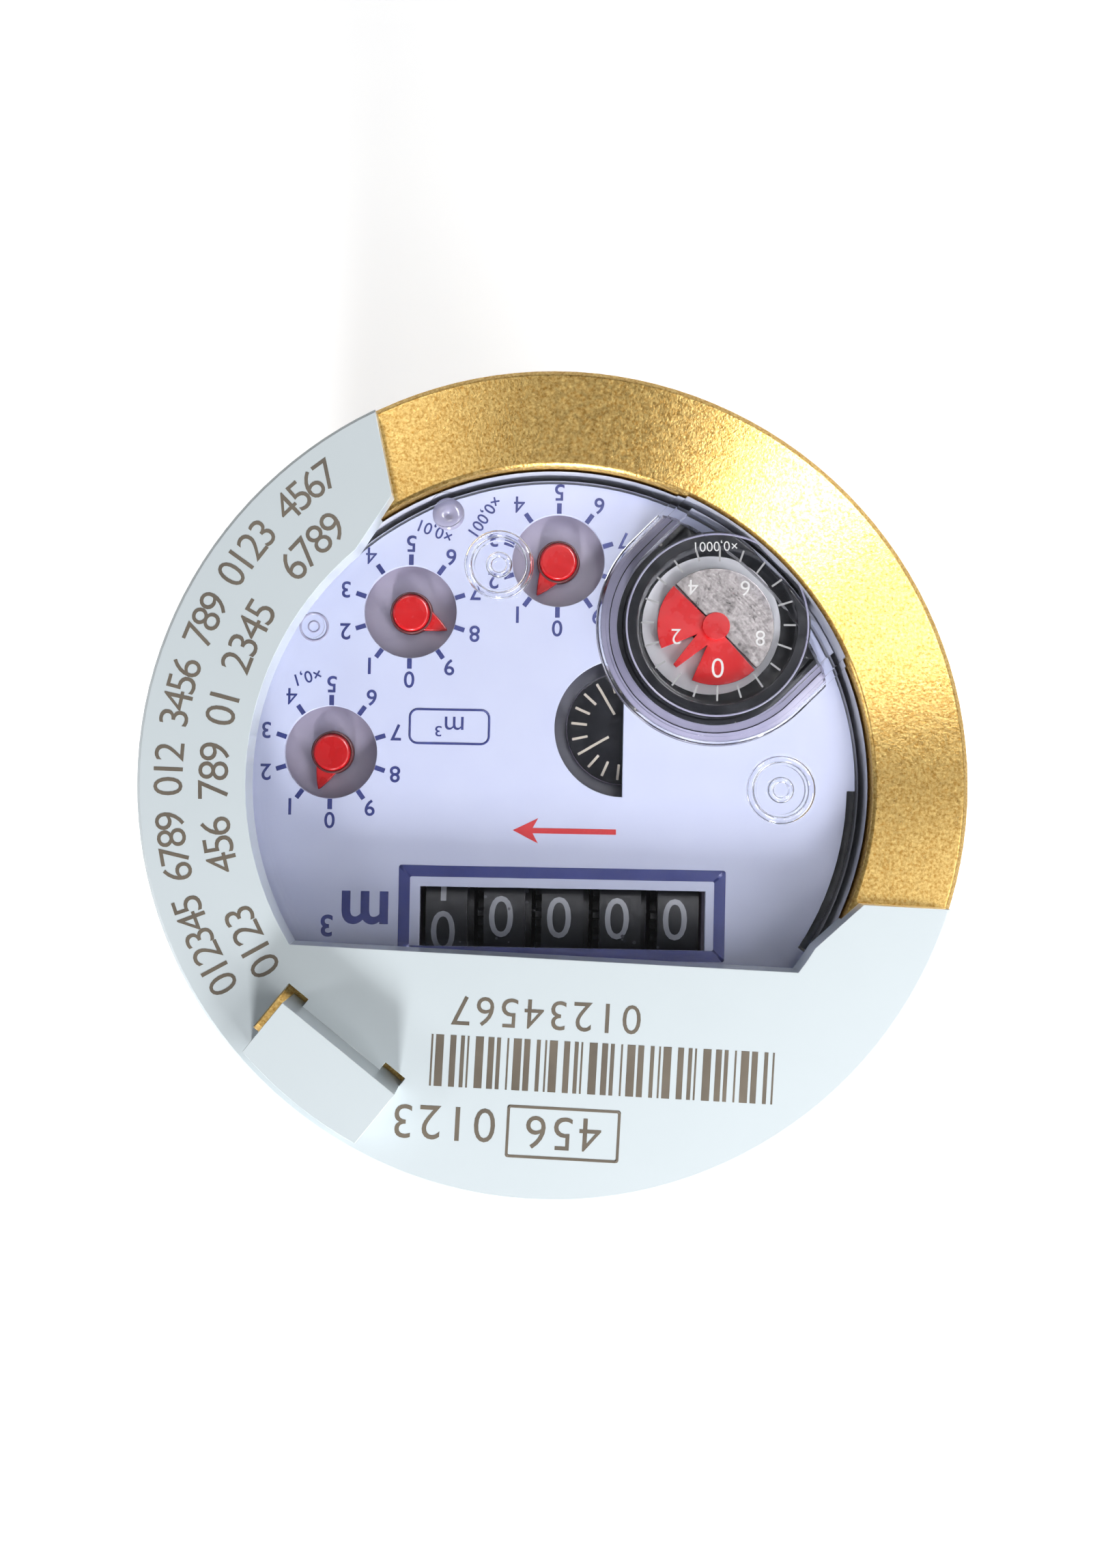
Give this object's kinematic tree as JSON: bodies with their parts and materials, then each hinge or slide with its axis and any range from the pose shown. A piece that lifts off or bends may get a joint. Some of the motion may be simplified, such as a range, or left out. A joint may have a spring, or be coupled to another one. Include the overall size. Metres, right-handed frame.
{
  "type": "water meter",
  "caption": "Dry-dial water meter capsule with brass head ring, turning register, roller counter, red pointers and a multi-jet measuring insert",
  "frame": {"origin": "centre of the inlet spigot's lower face, on the meter's axis", "axes": "+Z up out of the dial along the meter's axis, +Y up for someone reading the dial, +X to the right for the reader"},
  "size_m": [0.09, 0.09, 0.0771],
  "materials": {
    "brass_ring": "turned brass with a fine speckle",
    "white_cover": "bluish white moulded plastic, glossy",
    "clear_window": "clear moulded plastic with faint flow lines",
    "dial_face": "pale lilac dial with blue print",
    "black_plastic": "black moulded plastic",
    "natural_plastic": "natural moulded plastic",
    "roller_black": "dark roller with pale numerals",
    "red_plastic": "red moulded plastic",
    "steel": "bright steel",
    "magnet": "sintered dark grey",
    "rubber": "black elastomer"
  },
  "bodies": {
    "meter_body": {"head_ring": "brass_ring", "flange_seal": "rubber", "pressure_plate": "natural_plastic", "body_seal": "rubber", "snap_ring": "steel", "insert_housing": "black_plastic", "impeller_cup": "natural_plastic", "strainer": "natural_plastic", "port_o_ring": "rubber", "pivot_pin": "steel"},
    "impeller": {"impeller": "natural_plastic", "drive_magnet": "magnet", "pivot_jewel": "red_plastic"},
    "register": {"cover_plate": "white_cover", "clear_cup": "clear_window", "register_base": "black_plastic", "dial_plate": "dial_face", "litre_collar": "black_plastic", "gear_plate": "natural_plastic", "register_screws": "steel", "roller_shaft": "steel", "carry_shaft": "steel"},
    "follower": {"follower_arbor": "natural_plastic", "follower_magnet": "magnet"},
    "star": {"star_arbor": "natural_plastic", "star_disc": "black_plastic"},
    "litre": {"litre_arbor": "natural_plastic", "litre_disc": "red_plastic", "litre_target": "steel"},
    "third": {"third_arbor": "natural_plastic", "third_pointer": "red_plastic"},
    "second": {"second_arbor": "natural_plastic", "second_pointer": "red_plastic"},
    "first": {"first_arbor": "natural_plastic", "first_pointer": "red_plastic"},
    "bevel": {"bevel_arbor": "natural_plastic"},
    "idler_1": {"idler_1": "natural_plastic"},
    "roller_1": {"roller_1": "roller_black"},
    "idler_2": {"idler_2": "natural_plastic"},
    "roller_2": {"roller_2": "roller_black"},
    "idler_3": {"idler_3": "natural_plastic"},
    "roller_3": {"roller_3": "roller_black"},
    "idler_4": {"idler_4": "natural_plastic"},
    "roller_4": {"roller_4": "roller_black"},
    "idler_5": {"idler_5": "natural_plastic"},
    "roller_5": {"roller_5": "roller_black"},
    "carry_1": {"carry_pinion_1": "natural_plastic"},
    "carry_2": {"carry_pinion_2": "natural_plastic"},
    "carry_3": {"carry_pinion_3": "natural_plastic"},
    "carry_4": {"carry_pinion_4": "natural_plastic"}
  },
  "joints": [
    {"name": "impeller_spin", "type": "hinge", "parent": "meter_body", "child": "impeller", "pos_m": [0, 0, 0.025], "axis": [0, 0, 1], "continuous": true},
    {"name": "register_turn", "type": "hinge", "parent": "meter_body", "child": "register", "pos_m": [0, 0, 0.055], "axis": [0, 0, 1], "range_deg": [0, 355]},
    {"name": "follower_spin", "type": "hinge", "parent": "register", "child": "follower", "pos_m": [0, 0, 0.045], "axis": [0, 0, 1], "continuous": true},
    {"name": "star_spin", "type": "hinge", "parent": "register", "child": "star", "pos_m": [-0.00759, -0.00648, 0.053], "axis": [0, 0, 1], "continuous": true},
    {"name": "idler_1_spin", "type": "hinge", "parent": "register", "child": "idler_1", "pos_m": [-0.01669, -0.00825, 0.053], "axis": [0, 0, 1], "continuous": true},
    {"name": "litre_spin", "type": "hinge", "parent": "register", "child": "litre", "pos_m": [-0.01742, -0.01772, 0.053], "axis": [0, 0, 1], "continuous": true},
    {"name": "idler_2_spin", "type": "hinge", "parent": "register", "child": "idler_2", "pos_m": [-0.00864, -0.02069, 0.053], "axis": [0, 0, 1], "continuous": true},
    {"name": "third_spin", "type": "hinge", "parent": "register", "child": "third", "pos_m": [-0.00009, -0.02485, 0.053], "axis": [0, 0, 1], "continuous": true},
    {"name": "idler_3_spin", "type": "hinge", "parent": "register", "child": "idler_3", "pos_m": [0.00664, -0.01847, 0.053], "axis": [0, 0, 1], "continuous": true},
    {"name": "second_spin", "type": "hinge", "parent": "register", "child": "second", "pos_m": [0.01614, -0.0189, 0.053], "axis": [0, 0, 1], "continuous": true},
    {"name": "idler_4_spin", "type": "hinge", "parent": "register", "child": "idler_4", "pos_m": [0.01772, -0.00976, 0.053], "axis": [0, 0, 1], "continuous": true},
    {"name": "first_spin", "type": "hinge", "parent": "register", "child": "first", "pos_m": [0.02464, -0.00324, 0.053], "axis": [0, 0, 1], "continuous": true},
    {"name": "idler_5_spin", "type": "hinge", "parent": "register", "child": "idler_5", "pos_m": [0.02345, 0.00595, 0.053], "axis": [0, 0, 1], "continuous": true},
    {"name": "bevel_spin", "type": "hinge", "parent": "register", "child": "bevel", "pos_m": [0.01964, 0.01466, 0.053], "axis": [0, 0, 1], "continuous": true},
    {"name": "roller_1_spin", "type": "hinge", "parent": "register", "child": "roller_1", "pos_m": [0.01164, 0.01466, 0.0556], "axis": [1, 0, 0], "continuous": true},
    {"name": "roller_2_spin", "type": "hinge", "parent": "register", "child": "roller_2", "pos_m": [0.0052, 0.01466, 0.0556], "axis": [1, 0, 0], "continuous": true},
    {"name": "roller_3_spin", "type": "hinge", "parent": "register", "child": "roller_3", "pos_m": [-0.00124, 0.01466, 0.0556], "axis": [1, 0, 0], "continuous": true},
    {"name": "roller_4_spin", "type": "hinge", "parent": "register", "child": "roller_4", "pos_m": [-0.00768, 0.01466, 0.0556], "axis": [1, 0, 0], "continuous": true},
    {"name": "roller_5_spin", "type": "hinge", "parent": "register", "child": "roller_5", "pos_m": [-0.01412, 0.01466, 0.0556], "axis": [1, 0, 0], "continuous": true},
    {"name": "carry_1_spin", "type": "hinge", "parent": "register", "child": "carry_1", "pos_m": [0.00842, 0.02405, 0.05122], "axis": [1, 0, 0], "continuous": true},
    {"name": "carry_2_spin", "type": "hinge", "parent": "register", "child": "carry_2", "pos_m": [0.00198, 0.02405, 0.05122], "axis": [1, 0, 0], "continuous": true},
    {"name": "carry_3_spin", "type": "hinge", "parent": "register", "child": "carry_3", "pos_m": [-0.00446, 0.02405, 0.05122], "axis": [1, 0, 0], "continuous": true},
    {"name": "carry_4_spin", "type": "hinge", "parent": "register", "child": "carry_4", "pos_m": [-0.0109, 0.02405, 0.05122], "axis": [1, 0, 0], "continuous": true}
  ],
  "couplings": [
    {"joint": "follower_spin", "follows": "impeller_spin", "ratio": 1},
    {"joint": "star_spin", "follows": "impeller_spin", "ratio": -0.4},
    {"joint": "idler_1_spin", "follows": "impeller_spin", "ratio": 0.12},
    {"joint": "litre_spin", "follows": "impeller_spin", "ratio": -0.04},
    {"joint": "idler_2_spin", "follows": "impeller_spin", "ratio": 0.012},
    {"joint": "third_spin", "follows": "impeller_spin", "ratio": -0.004},
    {"joint": "idler_3_spin", "follows": "impeller_spin", "ratio": 0.0012},
    {"joint": "second_spin", "follows": "impeller_spin", "ratio": -0.0004},
    {"joint": "idler_4_spin", "follows": "impeller_spin", "ratio": 0.00012},
    {"joint": "first_spin", "follows": "impeller_spin", "ratio": -0.00004},
    {"joint": "idler_5_spin", "follows": "impeller_spin", "ratio": 0.000012},
    {"joint": "bevel_spin", "follows": "impeller_spin", "ratio": -0.000004},
    {"joint": "roller_1_spin", "follows": "impeller_spin", "ratio": -0.000004},
    {"joint": "roller_2_spin", "follows": "impeller_spin", "ratio": -0.0000004},
    {"joint": "roller_3_spin", "follows": "impeller_spin", "ratio": -0.00000004},
    {"joint": "roller_4_spin", "follows": "impeller_spin", "ratio": -0.000000004},
    {"joint": "roller_5_spin", "follows": "impeller_spin", "ratio": -0.0000000004},
    {"joint": "carry_1_spin", "follows": "impeller_spin", "ratio": 0.000001},
    {"joint": "carry_2_spin", "follows": "impeller_spin", "ratio": 0.0000001},
    {"joint": "carry_3_spin", "follows": "impeller_spin", "ratio": 0.00000001},
    {"joint": "carry_4_spin", "follows": "impeller_spin", "ratio": 0.000000001}
  ]
}
